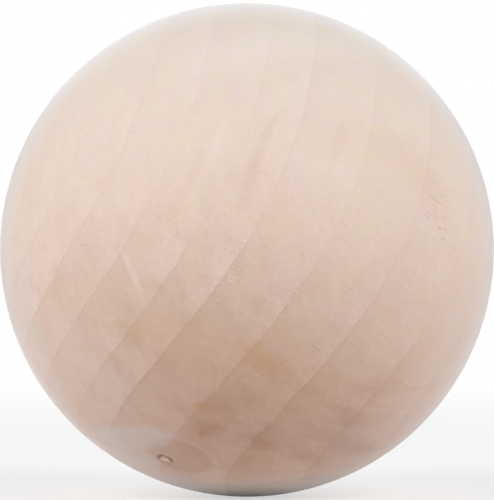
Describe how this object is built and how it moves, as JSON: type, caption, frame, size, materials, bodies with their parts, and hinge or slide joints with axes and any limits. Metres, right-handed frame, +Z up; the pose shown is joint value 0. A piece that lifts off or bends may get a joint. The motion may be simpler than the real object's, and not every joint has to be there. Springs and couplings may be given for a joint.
{
  "type": "wooden ball",
  "caption": "Solid turned ball of pale unfinished hardwood, with faint growth rings and a small cut-off scar at one end of its turning axis.",
  "frame": {"origin": "centre of the ball", "axes": "+Z up and -Y to the front, as the ball lies in the view; the turning axis leans, and its marked end shows low on the front left"},
  "size_m": [0.05, 0.05, 0.05],
  "materials": {
    "wood": "bare sanded wood, matt"
  },
  "bodies": {
    "root": {"ball": "wood"}
  },
  "joints": []
}
